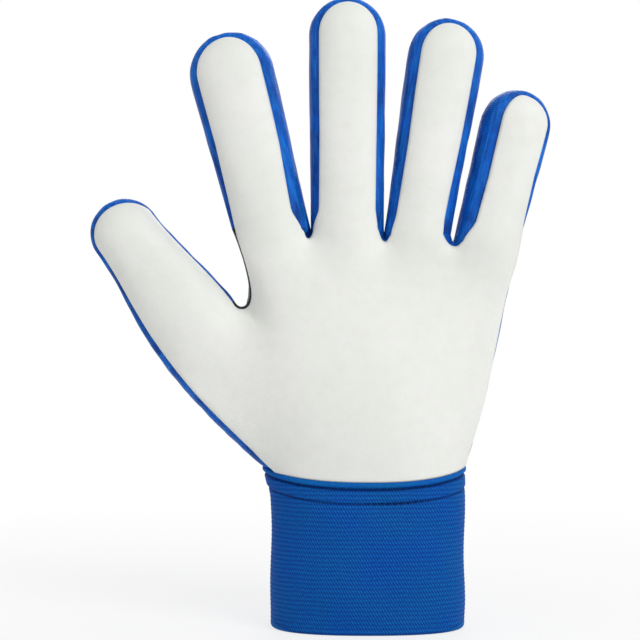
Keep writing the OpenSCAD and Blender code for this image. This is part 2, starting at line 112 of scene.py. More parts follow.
# Section angles of the latex's edges, left and right, at a finger's root
ROOT_SEAMS = {"index": (20, 37), "middle": (14, 32), "ring": (31, 41), "little": (39, 10), "thumb": (30, 5)}
SPREAD_HEIGHT = 8.0  # height above the root over which it spreads to them
FINGERS = ("thumb", "index", "middle", "ring", "little")
CROTCHES = (("index", "middle", 3.4), ("middle", "ring", 3.4), ("ring", "little", 3.2))  # and their dips

BASE_BEND_SHARE = 0.45  # share of the base section over which the fabric turns at the root
TIP_BEND_SHARE = 0.40  # and on each side of the middle joint
SPLIT_SHARE = 0.52  # where a finger's lower piece ends and its upper one begins


# ---- numbers ----

def mix(a, b, t):
    return a + (b - a) * t


def ease(t):
    t = np.clip(t, 0.0, 1.0)
    return t * t * (3 - 2 * t)


def unit(vectors):
    """The same directions, each of length 1."""
    return vectors / np.maximum(np.linalg.norm(vectors, axis=-1), 1e-9)[..., None]


def signed_power(value, power):
    return np.sign(value) * np.abs(value) ** power


def across(angle):
    """Sideways share of a section's half width at an angle in degrees."""
    return signed_power(np.cos(np.radians(angle)), 2 / ROUNDNESS)


def outward(angle):
    """Share of a section's half depth; negative towards the palm."""
    return signed_power(np.sin(np.radians(angle)), 2 / ROUNDNESS)


def angle_at(share):
    return np.degrees(np.arccos(np.clip(np.abs(share), 0, 1) ** (ROUNDNESS / 2)))


def spaced(count, ends=0.75):
    """Steps from 0 to 1 that crowd towards both ends."""
    even = np.linspace(0, 1, count)
    return mix(even, (1 - np.cos(math.pi * even)) / 2, ends)


def run_along(path):
    """How far along a path each of its points lies."""
    return np.r_[0, np.cumsum(np.linalg.norm(np.diff(path, axis=0), axis=1))]


def noise(points, scale, seed):
    """Smooth waves of about unit height over points, with this wavelength in millimetres."""
    draw = np.random.default_rng(seed)
    total = np.zeros(points.shape[:-1])
    for _ in range(7):
        direction = draw.normal(size=3)
        direction *= draw.uniform(0.6, 1.5) / np.linalg.norm(direction)
        total += np.sin(points @ direction * (2 * math.pi / scale) + draw.uniform(0, 2 * math.pi))
    return total / 2.6


def nearest(points):
    """A tree that finds the nearest of these points."""
    tree = kdtree.KDTree(len(points))
    for i, p in enumerate(points):
        tree.insert(p, i)
    tree.balance()
    return tree


# ---- what the frame says about the fingers and the cuff ----

def mesh_points(node):
    return np.array([v.co[:] for v in frame["nodes"][node].data.vertices]) / MM


def joint_at(name):
    found = next(j for j in frame["joints"] if j["name"] == name)
    return np.array(found["pos_m"]) / MM


class Finger:
    """A finger's own frame, with Z along it, and its section at each height."""

    def __init__(self, name):
        root, bend = joint_at(name + "_base_bend"), joint_at(name + "_tip_bend")
        step = bend - root
        length = math.hypot(step[0], step[2])
        self.name = name
        self.along = np.array([step[0], 0.0, step[2]]) / length
        self.side = np.array([self.along[2], 0.0, -self.along[0]])
        self.root = np.array([root[0], 0.0, root[2]]) - self.along * HALF_GAP
        self.bend = length + HALF_GAP
        self.split = SPLIT_SHARE * self.bend
        # the cuts of the four fingers are level on the glove, and the thumb's is square to it
        self.slope = 0.0 if name == "thumb" else step[0] / step[2]
        low, high = (self.local(mesh_points(name + node)) for node in ("_base_gussets", "_tip_gusset"))
        rows, found = np.unique(high[:, 2].round(2), return_counts=True)
        found = np.where((rows > self.bend + 5) & (rows < rows.max() - TIP_LEAST), found, 0)
        self.straight = rows[found > 0.7 * found.max()].max()
        pole = self.local(mesh_points(name + "_tip_lining"))[:, 2].max()
        self.half_tip = pole + LINING_COVER - self.straight
        self.root_deep = -root[1]
        self.tip_deep = self.root_deep - (bend[1] - root[1]) * self.straight / self.bend
        foot = low[low[:, 2] - self.slope * low[:, 0] < 2 * HALF_GAP + 0.1]
        dome = (1 - np.abs(foot[:, 1] / self.root_deep) ** ROUNDNESS) ** (1 / ROUNDNESS)
        self.half_root = (np.abs(foot[:, 0]) / dome).max()
        latex = self.local(mesh_points(name + "_base_latex"))
        rise = latex[:, 2] - self.slope * latex[:, 0]
        foot, head = latex[rise < rise.min() + 0.1, 0], latex[rise > rise.max() - 0.1, 0]
        wide = self.half_width(rise.max())
        self.seams = {side: (angle_at(end(foot) / self.half_root), angle_at(end(head) / wide))
                      for side, end in ((-1, np.min), (1, np.max))}

    def local(self, points):
        rel = points - self.root
        return np.stack([rel @ self.side, rel[..., 1], rel @ self.along], -1)

    def placed(self, x, y, s):
        x, y, s = np.broadcast_arrays(x, y, s)
        flat = self.root + x[..., None] * self.side + s[..., None] * self.along
        flat[..., 1] = y
        return flat

    def half_width(self, s):
        return mix(self.half_root, self.half_tip, ease(s / self.straight))

    def wall(self, s, angle):
        """A point of the section at this height."""
        fade = 1 - ease((s - self.bend) / (self.straight - self.bend))
        x = self.half_width(s) * across(angle)
        deep = mix(self.root_deep, self.tip_deep, np.clip(s / self.straight, 0, 1))
        return self.placed(x, deep * outward(angle), s + self.slope * fade * x)

    def tip(self, direction, angle):
        """A point on the rounded tip; direction 0 is the right side, 90 the very tip."""
        reach = self.half_tip * across(angle)
        return self.placed(reach * np.cos(np.radians(direction)), self.tip_deep * outward(angle),
                           self.straight + reach * np.sin(np.radians(direction)))

    def seam(self, side, s):
        """Section angle of the latex's edge on one side: it spreads towards the crotch at the root."""
        low, high = self.seams[side]
        root = ROOT_SEAMS[self.name][0 if side < 0 else 1]
        return mix(root, mix(low, high, np.clip(s / self.bend, 0, 1)), ease(s / SPREAD_HEIGHT))

    def level(self, s):
        """A point of the level cut at this height, for the ends of a bend."""
        normal = unit(self.along - self.slope * self.side)
        return (self.root + normal * (s / math.hypot(1, self.slope))) * MM

    def edge_angle(self, direction, side):
        """Section angle at which the foam on one side ends over the tip."""
        c, s = np.cos(np.radians(direction)), np.sin(np.radians(direction))
        beside = across(BACK_SEAM if side > 0 else np.where(c < 0, self.seams[-1][1], self.seams[1][1]))
        end = 1 - (BACK_TIP_EDGE if side > 0 else LATEX_TIP_EDGE) / self.half_tip
        return angle_at(1 / np.sqrt((c / beside) ** 2 + (s / end) ** 2))


fingers = {name: Finger(name) for name in FINGERS}
knit_points, palm_points = mesh_points("cuff_knit"), mesh_points("palm_latex")
cuff_half = knit_points[:, 0].max()
cuff_deep = knit_points[:, 1].max()
thumb_flare = -knit_points[:, 0].min() - cuff_half
cuff_height = mesh_points("cuff_seam_band")[:, 2].max() + 0.4
seam_dip = cuff_height - palm_points[:, 2].min() + 0.1


def cuff_seam_height(angle):
    return cuff_height - seam_dip * np.abs(np.sin(np.radians(angle))) ** DIP_POWER


def cuff_point(angle, z, lift=0.0):
    flare = thumb_flare * np.maximum(0, -np.cos(np.radians(angle)))
    x = (cuff_half + lift) * across(angle) - flare * ease((z - cuff_height + FLARE_HEIGHT) / FLARE_HEIGHT)
    return np.stack(np.broadcast_arrays(x, (cuff_deep + lift) * outward(angle), z), -1)


# ---- the hand: columns that run from the cuff's seam to the roots of the fingers ----

COLUMNS = 32.0  # the hand's columns are numbered 0 to this, from the thumb to the little finger
SHARES = {"thumb": (0, 5), "index": (10, 14), "middle": (16, 20), "ring": (22, 26), "little": (28, 32)}
WEB_PLACES = (0, 0.15, 0.35, 0.6, 0.8, 1)  # where columns 5 to 10 meet the web's curve
LEAN_PLACES = (0, 2.5, 12, 18, 24, 29.5, 32)  # where the columns lean as thumb, thumb, index and so on
CUFF_SEAMS = (30.0, 8.0)  # section angles at which the latex ends on the cuff
FOAM_COLUMNS = 27  # across a finger's foam
ROWS = spaced(76, 0.8)
DEPTHS = np.linspace(0, 1, 15)  # across a gusset, from the palm's seam to the back's
CROTCH = np.linspace(0, 1, 17)  # across the space between two fingers
WEB = spaced(40, 0.5)


def hand_half(z):
    """Half the hand's thickness at a height, between the cuff's seam and the crotches."""
    t = np.clip((z - cuff_height) / (fingers["middle"].root[2] - cuff_height), 0, 1)
    return mix(cuff_deep, fingers["index"].root_deep, ease(t)) + PALM_SWELL * 27 / 4 * t * (1 - t) ** 2


def column_rows(cuff_angle, head, lean):
    """A grid of points, from the cuff's seam up to the heads of its columns."""
    t = ROWS[:, None, None]
    foot = cuff_point(cuff_angle, cuff_seam_height(cuff_angle) + 0.1)
    chord = head - foot
    spread = COLUMN_SPREAD + SPREAD_SKEW * np.cos(np.radians(cuff_angle))
    leave = chord * np.c_[spread, 0 * spread, 0 * spread + 1]
    arrive = np.linalg.norm(chord, axis=1)[:, None] * lean
    grid = (foot * (2 * t ** 3 - 3 * t ** 2 + 1) + leave * (t ** 3 - 2 * t ** 2 + t)
            + head * (3 * t ** 2 - 2 * t ** 3) + arrive * (t ** 3 - t ** 2))
    depth = hand_half(grid[..., 2]) * outward(cuff_angle)
    below = np.linalg.norm((grid - head)[..., ::2], axis=-1)
    grid[..., 1] = mix(depth, head[:, 1], ease(1 - below / SECTION_TURN))
    return grid


def between(left, right, q, angle_left, angle_right, dip, pull):
    """The fabric between two fingers: it dips in the middle, and its edges are pulled inwards."""
    round_q = 1 - np.abs(2 * q - 1) ** 2.2
    grid = mix(fingers[left].wall(0.0, angle_left), fingers[right].wall(0.0, angle_right), q[..., None])
    grid[..., 2] -= dip * round_q
    grid[..., 1] += pull * round_q
    return grid


def web(t, angle_thumb, angle_index):
    """The web's curve, from the thumb's right wall to the index finger's left one."""
    a, b = fingers["thumb"].wall(0.0, angle_thumb), fingers["index"].wall(0.0, angle_index)
    u, t = (1 - t)[..., None], t[..., None]
    return (a * u ** 3 + 3 * u * u * t * (a + np.array(WEB_LOW)) + 3 * u * t * t * (a + np.array(WEB_HIGH))
            + b * t ** 3)


def gusset_angles(f, side, s):
    """Section angles across a gusset, at each height, from the palm's seam to the back's."""
    angle = mix(-f.seam(side, s), BACK_SEAM, DEPTHS)
    return angle if side > 0 else 180 - angle


def foam_angles(f, s, side):
    """Section angles across one foam panel, from left to right as seen from outside."""
    x = (2 * spaced(FOAM_COLUMNS) - 1) * -side
    edges = (BACK_SEAM, BACK_SEAM) if side > 0 else (f.seam(-1, s), f.seam(1, s))
    share = x * np.where(x < 0, *map(across, edges))
    return side * np.where(share < 0, 180 - angle_at(share), angle_at(share))


def seams_between(left, right, side):
    """Section angles of the seams on both sides of a crotch, at the roots."""
    if side > 0:
        return BACK_SEAM, 180 - BACK_SEAM
    return -fingers[left].seam(1, 0.0), 180 + fingers[right].seam(-1, 0.0)


def crotch_dip(v, dip):
    """A crotch dips less towards the back."""
    return dip * mix(1.0, 0.35, v)


def face_columns(side):
    """Cuff angles, heads and leans of one face's columns, from left to right as seen from outside."""
    index, head = [], []
    for name, f in fingers.items():
        angles = foam_angles(f, 0.0, side)
        place = (angles - angles[0]) / (angles[-1] - angles[0])
        index.append(mix(*SHARES[name], place if side < 0 else 1 - place[::-1]))
        head.append(f.wall(0.0, angles)[::-side])
        if name == "thumb":
            t = WEB[1:-1]
            index.append(np.interp(t, WEB_PLACES, np.arange(5, 11)))
            head.append(web(t, *seams_between("thumb", "index", side)))
        for left, right, dip in CROTCHES:
            if left == name:
                q = CROTCH[1:-1]
                index.append(mix(SHARES[left][1], SHARES[right][0], q))
                head.append(between(left, right, q, *seams_between(left, right, side),
                                    crotch_dip(side > 0, dip), -side * CROTCH_PULL))
    index, head = np.concatenate(index), np.concatenate(head)
    leans = [math.atan2(f.along[0], f.along[2]) for f in fingers.values()]
    turned = np.interp(index, LEAN_PLACES, [leans[k] for k in (0, 0, 1, 2, 3, 4, 4)])
    lean = np.stack([np.sin(turned), 0 * turned, np.cos(turned)], 1)
    if side > 0:
        angle = mix(180 - BACK_SEAM, BACK_SEAM, index / COLUMNS)
        return angle[::-1], head[::-1], lean[::-1]
    return mix(CUFF_SEAMS[0] - 180, -CUFF_SEAMS[1], index / COLUMNS), head, lean


def crossings(grid):
    """The grid's faces that are turned over, where its columns cross."""
    facing = np.cross(grid[1:, 1:] - grid[:-1, :-1], grid[1:, :-1] - grid[:-1, 1:])[..., 1]
    return np.argwhere(facing * np.sign(np.median(facing)) <= 0)


def untangled(grid, tries=12, rounds=40, rows=4, columns=7, below=14, aside=16, fade=10):
    """The same grid, evened out wherever its columns cross, and straightened if any still do."""
    grid = grid.copy()
    for _ in range(tries):
        crossed = crossings(grid)
        if not len(crossed):
            break
        near = np.zeros(grid.shape[:2] + (1,))
        for r, c in crossed:
            near[max(r - rows, 1):r + rows + 2, max(c - columns, 1):c + columns + 2] = 1
        near[-1] = near[:, -1] = 0
        for _ in range(rounds):
            mean = (grid[:-2, 1:-1] + grid[2:, 1:-1] + grid[1:-1, :-2] + grid[1:-1, 2:]) / 4
            grid[1:-1, 1:-1] += near[1:-1, 1:-1] * (mean - grid[1:-1, 1:-1])
    left = crossings(grid)
    if len(left):
        first, last = left[:, 1].min(), left[:, 1].max()
        place = np.arange(grid.shape[1])
        amount = (ease((place - first + aside) / fade) * ease((last + aside - place) / fade))[:, None]
        low = max(left[:, 0].min() - below, 1)
        for r in range(low + 1, len(grid) - 1):
            straight = mix(grid[low], grid[-1], (r - low) / (len(grid) - 1 - low))
            grid[r] = mix(grid[r], straight, amount)
    return grid


def evened(targets, sources, depth, weight, reach):
    """The depth at each target, on the plane that best fits the sources within reach of it."""
    x, z = sources.T
    terms = np.stack([0 * x + 1, x, z, x ** 2, x * z, z ** 2, depth, x * depth, z * depth], 1)
    out = np.empty(len(targets))
    order = np.lexsort((targets[:, 1], targets[:, 0] // 12))  # in strips, so that a chunk lies together
    for some in np.array_split(order, len(targets) // 400 + 1):
        part = targets[some]
        near = ((sources > part.min(0) - 3.5 * reach) & (sources < part.max(0) + 3.5 * reach)).all(1)
        own = sources[near]
        apart = (part ** 2).sum(1)[:, None] + (own ** 2).sum(1) - 2 * part @ own.T
        sums = (weight[near] * np.exp(-apart / (2 * reach ** 2))) @ terms[near]
        x, z, xx, xz, zz, y, xy, zy = (sums[:, 1:] / sums[:, :1]).T
        xx, xz, zz, xy, zy = xx - x * x, xz - x * z, zz - z * z, xy - x * y, zy - z * y
        scale = np.maximum(xx * zz - xz * xz, 1e-6)
        out[some] = (y + (xy * zz - zy * xz) / scale * (part[:, 0] - x)
                     + (zy * xx - xy * xz) / scale * (part[:, 1] - z))
    return out


def calmed(grid):
    """The same grid with its depth evened out, so that no column shows as a crease."""
    flat = grid[..., ::2]
    rim = np.r_[flat[0], flat[-1], flat[:, 0], flat[:, -1]]
    part = flat[::2, ::2]
    over, up = np.gradient(part, axis=1), np.gradient(part, axis=0)
    weight = np.abs(over[..., 0] * up[..., 1] - over[..., 1] * up[..., 0]).ravel()
    edge = np.array([np.sqrt(((row[:, None] - rim) ** 2).sum(2).min(1)) for row in flat])
    out = grid.copy()
    for reach, margin in CALMING:
        even = evened(flat.reshape(-1, 2), part.reshape(-1, 2), out[::2, ::2, 1].ravel(), weight, reach)
        out[..., 1] = mix(out[..., 1], even.reshape(edge.shape), ease(edge / margin))
    return out


def heights(low, high):
    return np.linspace(low, high, max(4, round((high - low) / STEP)))


def finger_face(f, side, low, high, tipped):
    """One foam panel of a finger, between two heights, and over its tip."""
    rows = [f.wall(s, foam_angles(f, s, side)) for s in heights(low, high)]
    if tipped:
        x = (2 * spaced(FOAM_COLUMNS) - 1) * -side
        left, right, top = (across(f.edge_angle(d, side)) for d in (180.0, 0.0, 90.0))
        for climb in np.radians(90 * spaced(22, 0.35))[1:]:
            end = math.sin(climb) * top
            wide = x * np.where(x < 0, left, right) * math.cos(climb)
            rows.append(f.tip(np.degrees(np.arctan2(end, wide)), side * angle_at(np.hypot(wide, end))))
    return np.array(rows)


def finger_strip(f, side, low, high):
    """One gusset of a finger between two heights, from left to right as seen from outside."""
    return np.array([f.wall(s, gusset_angles(f, side, s)) for s in heights(low, high)])[:, ::side]


def tip_strip(f, low):
    """The gusset that runs up the right side, over the tip and down the left side."""
    walls = heights(low, f.straight)
    rows = [f.wall(s, gusset_angles(f, 1, s)) for s in walls]
    for direction in np.linspace(0, 180, 47)[1:-1]:
        rows.append(f.tip(direction, mix(-f.edge_angle(direction, -1), f.edge_angle(direction, 1), DEPTHS)))
    rows += [f.wall(s, gusset_angles(f, -1, s)) for s in walls[::-1]]
    return np.array(rows)


def side_strip(name, side, cuff_seam):
    """The hand's gusset under the thumb or the little finger."""
    f = fingers[name]
    low = mix(-cuff_seam, BACK_SEAM, DEPTHS)
    heads = f.wall(0.0, gusset_angles(f, side, 0.0))
    leans = np.tile(f.along, (len(DEPTHS), 1))
    return column_rows(low if side > 0 else 180 - low, heads, leans)[:, ::side]


# ---- one layer of the glove, cut into a piece for each body ----

class Layer:
    """Patches of points whose shared edges are welded into one smooth surface."""

    def __init__(self, patches):
        """Each patch is a tag and a grid of points: "hand", or a finger's name with ":low" or ":high"."""
        points, faces, tags, count = [], [], [], 0
        for tag, grid in patches:
            rows, columns = grid.shape[:2]
            at = count + np.arange(rows * columns).reshape(rows, columns)
            faces.append(np.stack([at[:-1, :-1], at[:-1, 1:], at[1:, 1:], at[1:, :-1]], -1).reshape(-1, 4))
            points.append(grid.reshape(-1, 3))
            tags += [tag] * len(faces[-1])
            count += rows * columns
        points = np.concatenate(points)
        _, first, which = np.unique(np.round(points / WELD).astype(np.int64), axis=0, return_index=True,
                                    return_inverse=True)
        self.rest, self.which = points[first], which.ravel()
        self.quads = self.which[np.concatenate(faces)]
        self.tags = np.array(tags)
        self.normals = self.normals_of(self.rest)
        self.margin = self.from_edges()

    def calm(self):
        """Evens out the depth where the fingers grow out of the hand, away from the layer's edges."""
        share = np.zeros(len(self.rest))
        (first, last), (below, above, aside) = ROOT_ZONE, ROOT_FADES
        for f in fingers.values():
            x, _, z = f.local(self.rest).T
            near = ease((f.half_root + aside - np.abs(x)) / aside)
            share = np.maximum(share, near * ease((z - first) / below) * ease((last - z) / above))
        area = np.abs(self.facing(self.rest)[:, 1])  # as seen from the front
        weight = np.bincount(self.quads.ravel(), np.repeat(area, 4), len(self.rest))
        flat = self.rest[:, ::2]
        moved = np.nonzero(share > 0.01)[0]
        low, high = flat[moved].min(0) - 6, flat[moved].max(0) + 6
        used = np.nonzero(((flat > low) & (flat < high)).all(1))[0]
        for reach, margin in ROOT_CALMING:
            even = evened(flat[moved], flat[used], self.rest[used, 1], weight[used], reach)
            amount = share[moved] * ease((self.margin[moved] - 0.4) / margin)
            self.rest[moved, 1] = mix(self.rest[moved, 1], even, amount)
        self.normals = self.normals_of(self.rest)

    def facing(self, points):
        corner = points[self.quads]
        return np.cross(corner[:, 2] - corner[:, 0], corner[:, 3] - corner[:, 1])

    def shared(self, of_faces):
        """At each point, the direction of the faces round it."""
        total = np.zeros((len(self.rest), 3))
        for k in range(4):
            np.add.at(total, self.quads[:, k], of_faces)
        return unit(total)

    def normals_of(self, points, rounds=6):
        """The normals, with any that stray from those around them turned back."""
        normals = even = self.shared(self.facing(points))
        for _ in range(rounds):
            even = self.shared(even[self.quads].sum(1))
        return np.where(((normals * even).sum(1) < 0.65)[:, None], even, normals)

    def open_edges(self, quads):
        """Directed edges that only one of these faces has."""
        ends = np.concatenate([quads[:, (k, (k + 1) % 4)] for k in range(4)])
        ends = ends[ends[:, 0] != ends[:, 1]]
        _, which, uses = np.unique(np.sort(ends, 1), axis=0, return_inverse=True, return_counts=True)
        return ends[uses[which.ravel()] == 1]

    def from_edges(self):
        """How far each point lies from the layer's edge."""
        edges = self.open_edges(self.quads)
        tree = nearest((self.rest[edges[:, 0]] + self.rest[edges[:, 1]]) / 2)
        out = np.empty(len(self.rest))
        for i, p in enumerate(self.rest):
            near = [k for _, k, _ in tree.find_n(p, 4)]
            a, b = self.rest[edges[near, 0]], self.rest[edges[near, 1]]
            t = np.clip(((p - a) * (b - a)).sum(1) / np.maximum(((b - a) ** 2).sum(1), 1e-9), 0, 1)
            out[i] = np.linalg.norm(a + t[:, None] * (b - a) - p, axis=1).min()
        return out

    def shape(self, height, depth):
        """Lifts the outer face by height, and gives the layer an inner face at this depth."""
        self.outer = self.rest + self.normals * (height * np.ones(len(self.rest)))[:, None]
        self.inner = self.rest - self.normals * depth
        self.out_normals = self.normals_of(self.outer)

    def surface(self, points, proud=0.0):
        """The outer face's points nearest to these, and its normals there."""
        tree = nearest(self.rest)
        near = np.array([tree.find(p)[1] for p in points])
        normal = self.out_normals[near]
        lift = ((self.outer[near] - points) * normal).sum(1) + proud
        return points + normal * lift[:, None], normal

    def piece(self, name, tag, material, node, slot, fill=None, held=None, with_pieces=()):
        """A closed piece of the faces with this tag, shaded as part of the whole layer. It stands for a
        node of the frame; the fill, held and with_pieces that it gets are not used."""
        chosen = self.quads[self.tags == tag]
        used, where = np.unique(chosen, return_inverse=True)
        own = where.reshape(chosen.shape)
        count = len(used)
        faces = [list(dict.fromkeys(q)) for q in own.tolist() + (own[:, ::-1] + count).tolist()]
        faces += [[a, a + count, b + count, b]
                  for a, b in np.searchsorted(used, self.open_edges(chosen)).tolist()]
        points = np.r_[self.outer[used], self.inner[used]]
        normals = np.r_[self.out_normals[used], -self.normals[used]]
        cloth = np.r_[self.rest[used], self.rest[used]]
        finger = fingers.get(tag.partition(":")[0])
        if finger and material is not LATEX:
            cloth = finger.local(cloth)
        made = mesh_piece(name, points, [f for f in faces if len(f) > 2], material, normals, cloth=cloth,
                          margin=np.r_[self.margin[used], np.zeros(count)])
        follow(made, tag)
        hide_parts(node)
        return made

    def finger_pieces(self, word, low, high, own=None, **soft):
        """The lower and upper piece of every finger, or of one: each has a node, material and slot, but the
        slot is not used.
        """
        for f in own or fingers.values():
            for part, (node, material, slot) in (("low", low), ("high", high)):
                self.piece(f"{f.name}_{word}_{part}", f"{f.name}:{part}", material, f.name + node, slot,
                           **soft)


def linked(name, data):
    """A new object in the scene."""
    made = bpy.data.objects.new(name, data)
    bpy.context.scene.collection.objects.link(made)
    return made


def mesh_piece(name, points, faces, material, normals=None, **kept):
    """A mesh with values kept at its points for the material, which so doesn't slide as the glove bends."""
    mesh = bpy.data.meshes.new(name)
    mesh.from_pydata((points * MM).tolist(), [], faces)
    mesh.shade_smooth()
    if normals is not None:
        mesh.normals_split_custom_set_from_vertices(normals.tolist())
    for word, values in kept.items():
        kind, field = ("FLOAT_VECTOR", "vector") if values.ndim > 1 else ("FLOAT", "value")
        mesh.attributes.new(word, kind, "POINT").data.foreach_set(field, values.astype(np.float32).ravel())
    mesh.materials.append(material)
    return linked(name, mesh)


def follow(piece, tag):
    """The piece rides on the hand; a finger's piece, which lies between two bodies, is only baked in place
    where it lies.
    """
    finger, _, part = tag.partition(":")
    if not part:
        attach(piece, "hand")
        return
    f = fingers[finger]
    if part == "low":
        bodies, ends = ("hand", finger + "_base"), (0.0, BASE_BEND_SHARE)
    else:
        bodies, ends = (finger + "_base", finger + "_tip"), (1 - TIP_BEND_SHARE, 1 + TIP_BEND_SHARE)
    start, end = (f.level(f.bend * share) for share in ends)
    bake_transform(piece)


def rolled(margin, radius):
    """How far a rounded edge of this radius drops, at each distance from the edge."""
    near = np.clip(1 - margin / radius, 0, 1)
    return radius * (1 - np.sqrt(1 - near ** 2))


# ---- materials: a helper adds its node to the tree of the socket that it gets ----

def linear(code):
    """A written sRGB colour, as the linear colour that the shaders take."""
    parts = [int(code[k:k + 2], 16) / 255 for k in (1, 3, 5)]
    return tuple(c / 12.92 if c <= 0.04045 else ((c + 0.055) / 1.055) ** 2.4 for c in parts) + (1.0,)


def add(tree, kind, inputs=(), **settings):
    """A node of this kind, with its settings, and its inputs linked or set."""
    made = tree.nodes.new("ShaderNode" + kind)
    for name, value in settings.items():
        setattr(made, name, value)
    for key, value in dict(inputs).items():
        if isinstance(value, bpy.types.NodeSocket):
            tree.links.new(value, made.inputs[key])
        else:
            made.inputs[key].default_value = linear(value) if isinstance(value, str) else value
    return made


def maths(operation, *values):
    tree = next(value.id_data for value in values if isinstance(value, bpy.types.NodeSocket))
    return add(tree, "Math", enumerate(values), operation=operation).outputs[0]


def wave(value, pitch):
    """A ripple from 0 to 1 along a value in millimetres."""
    return maths("MULTIPLY_ADD", maths("SINE", maths("MULTIPLY", value, 2 * math.pi / pitch)), 0.5, 0.5)


def cloud(place, size, detail=2.0, rough=0.5):
    """Soft noise from 0 to 1 with this size in millimetres."""
    return add(place.id_data, "TexNoise", {"Vector": place, "Scale": 1 / size, "Detail": detail,
                                           "Roughness": rough}).outputs["Fac"]


def ramp(value, low, high, top=1.0):
    """Rises from 0 to the top as the value goes from low to high."""
    return add(value.id_data, "MapRange", {"Value": value, "From Min": low, "From Max": high,
                                           "To Max": top}).outputs["Result"]


def blended(share, first, second):
    return add(share.id_data, "Mix", {0: share, 6: first, 7: second}, data_type="RGBA").outputs[2]


def margin_of(place):
    return add(place.id_data, "Attribute", attribute_name="margin").outputs["Fac"]


def parted(place):
    return add(place.id_data, "SeparateXYZ", {0: place}).outputs


def finish_of(name, roughness, sheen=0.0, sheen_roughness=0.5, gloss=0.5, tint="#FFFFFF"):
    """A new material, and where on the cloth a point lies, in millimetres."""
    material = bpy.data.materials.new(name)
    material.use_nodes = True
    inputs = material.node_tree.nodes["Principled BSDF"].inputs
    for key, value in {"Roughness": roughness, "Sheen Weight": sheen, "Sheen Roughness": sheen_roughness,
                       "Specular IOR Level": gloss, "Sheen Tint": linear(tint)}.items():
        inputs[key].default_value = value
    return material, add(material.node_tree, "Attribute", attribute_name="cloth").outputs["Vector"]


def finished(material, colour, height, deep):
    """The material with its colour, and relief of this depth in millimetres."""
    tree = material.node_tree
    inputs = tree.nodes["Principled BSDF"].inputs
    tree.links.new(colour, inputs["Base Color"])
    relief = add(tree, "Bump", {"Height": height, "Distance": deep * MM, "Strength": 1.0})
    tree.links.new(relief.outputs["Normal"], inputs["Normal"])
    return material


def latex_foam():
    """Natural white latex foam: soft and matt, with fine pores, slightly uneven in tone, and a darker beige
    line
    at the seams: partly the colour of its cut edge, partly painted shade of the groove along the seam."""
    material, place = finish_of("latex_foam", 0.62, 0.06)
    colour = blended(ramp(cloud(place, 34.0, 3.0), 0.3, 0.7), "#E9EBE5", "#F0F1EC")
    colour = blended(ramp(cloud(place, 5.0, 4.0, 0.6), 0.45, 0.75, 0.35), colour, "#E3E4DD")
    # the beige line at the edge: partly the cut edge's own colour, partly painted shade of the seam's groove
    colour = blended(ramp(margin_of(place), 0.75, 0.15), colour, "#B9AE9C")
    pores, dents = cloud(place, 0.55, 3.0, 0.7), cloud(place, 7.0, 2.0)
    return finished(material, colour, maths("MULTIPLY_ADD", dents, 2.2, pores), 0.09)


def stretch_gusset(name="gusset_jersey", dark="#063F96", mid="#0A62CE", light="#2290F4"):
    """Warp-knitted polyester and elastane: fine courses, along which painted highlights run in streaks."""
    material, place = finish_of(name, 0.42, 0.2, 0.35, 0.14, light)
    parts = parted(place)
    wales, courses = wave(parts["Y"], 0.95), wave(parts["Z"], 0.8)
    stretched = add(place.id_data, "Mapping", {"Vector": place, "Scale": (0.9, 0.9, 0.12)}).outputs[0]
    streak = cloud(stretched, 1.5, 3.0, 0.6)
    # painted highlight: streaks of the light colour along the courses, strongest on the wales
    painted_highlight = maths("MULTIPLY", ramp(streak, 0.42, 0.72, 0.75), maths("MULTIPLY_ADD", wales, 0.6, 0.4))
    colour = blended(ramp(cloud(place, 9.0), 0.3, 0.7), mid, dark)
    return finished(material, blended(painted_highlight, colour, light),
                    maths("MULTIPLY_ADD", streak, 1.6, maths("MULTIPLY", wales, courses)), 0.22)


def rib_knit():
    """Knitted elastic for cuffs: fine level ribs, each crossed by slanted loops, with painted shade between
    the threads and painted highlights on the loops; smooth along the binding at the seam and the fold at the
    mouth."""
    material, place = finish_of("cuff_rib_knit", 0.6, 0.2, 0.4, 0.08, "#0B72D0")
    parts, drop = parted(place), margin_of(place)
    height = maths("MULTIPLY_ADD", cloud(place, 11.0), 0.9, parts["Z"])
    rib = wave(height, RIB_PITCH)
    loop = wave(maths("MULTIPLY_ADD", height, LOOP_SLANT, parts["X"]), LOOP_PITCH)
    thread = maths("MULTIPLY", maths("MULTIPLY_ADD", rib, 0.6, 0.4), maths("MULTIPLY_ADD", loop, 0.75, 0.25))
    plain = maths("MAXIMUM", ramp(drop, BINDING + 0.3, BINDING - 0.3),
                  ramp(drop, cuff_height - 4.2, cuff_height - 3.6))
    thread = add(place.id_data, "Mix", {0: plain, 2: thread, 3: 0.62}).outputs[0]
    uneven = cloud(place, 1.1, 2.0, 0.6)
    colour = blended(ramp(cloud(place, 26.0), 0.35, 0.65), "#085C9E", "#0652A8")
    # painted shade: darker between the ribs and between the loops
    colour = blended(ramp(thread, 0.1, 0.55), "#043A92", colour)
    # painted highlight: the threads lighter where they stand out
    colour = blended(ramp(maths("MULTIPLY", thread, uneven), 0.2, 0.5, 0.7), colour, "#0B72D0")
    # painted shade along the two rows of stitches, where the cuff is pulled into grooves, and where the
    # smooth fold at the mouth begins
    rows = ((GROOVE, 0.75, 0.85), (SECOND_ROW, 0.7, 0.7), (cuff_height - 3.8, 0.5, 0.5))
    for row, half, strength in rows:
        off = maths("ABSOLUTE", maths("SUBTRACT", drop, row))
        colour = blended(ramp(off, half, half * 0.3, strength), colour, "#032665")
    return finished(material, colour, maths("MULTIPLY_ADD", uneven, 0.4, thread), 0.2)


